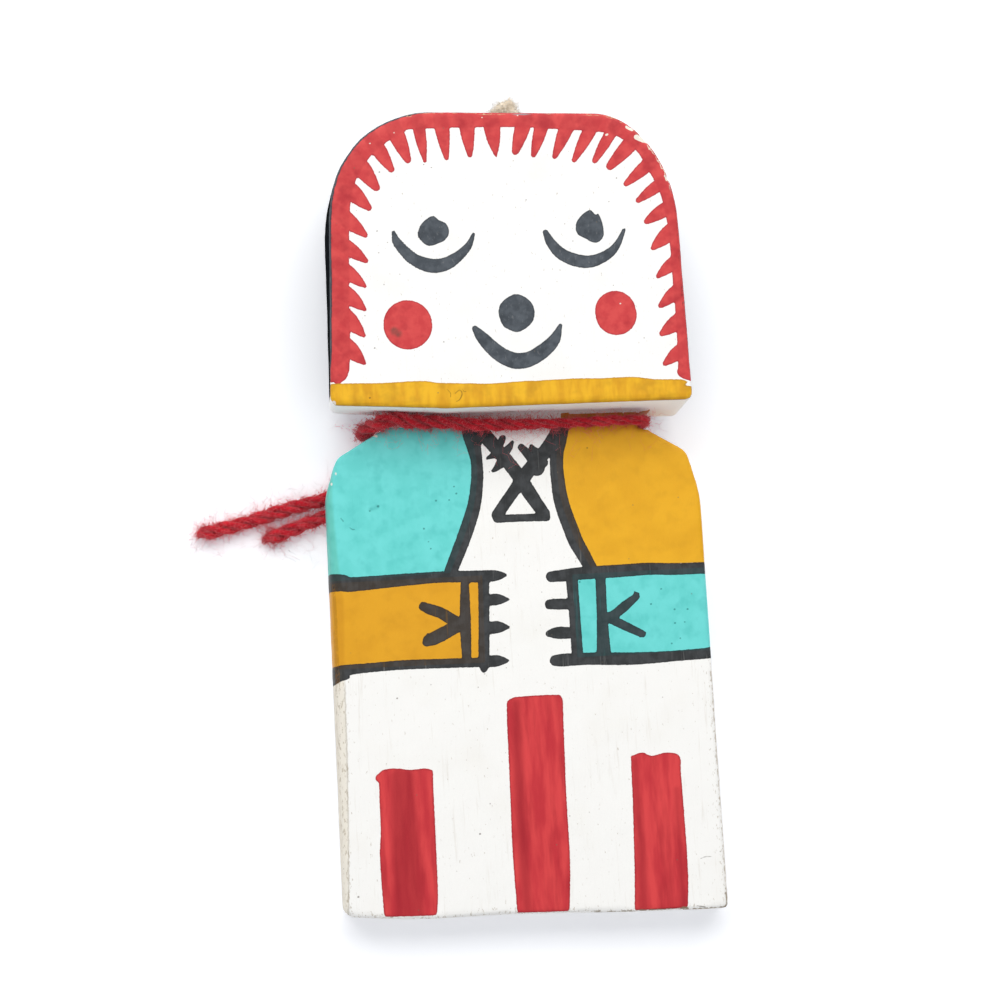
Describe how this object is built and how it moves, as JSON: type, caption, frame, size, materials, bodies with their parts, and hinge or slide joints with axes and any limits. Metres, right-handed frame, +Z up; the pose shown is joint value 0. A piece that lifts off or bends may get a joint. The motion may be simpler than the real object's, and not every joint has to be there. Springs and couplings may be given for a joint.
{
  "type": "kachina doll",
  "caption": "Flat carved doll with a thick head and thin body, painted in front, with wool tied round its neck and a wool tuft in its crown.",
  "frame": {"origin": "on the surface the doll lies on, under the middle of its box without the yarn's free ends", "axes": "+Z up, out of the painted front; +Y along the doll from foot to crown; +X across it, to the right as one faces the front"},
  "size_m": [0.1074, 0.175, 0.0264],
  "materials": {
    "painted_wood": "matte paint",
    "red_wool": "fuzzy twisted yarn",
    "cream_wool": "loose fibre"
  },
  "bodies": {
    "root": {"carved_figure": "painted_wood", "crown_tuft": "cream_wool", "neck_yarn": "red_wool", "yarn_tail_long": "red_wool", "yarn_tail_short": "red_wool"}
  },
  "joints": []
}
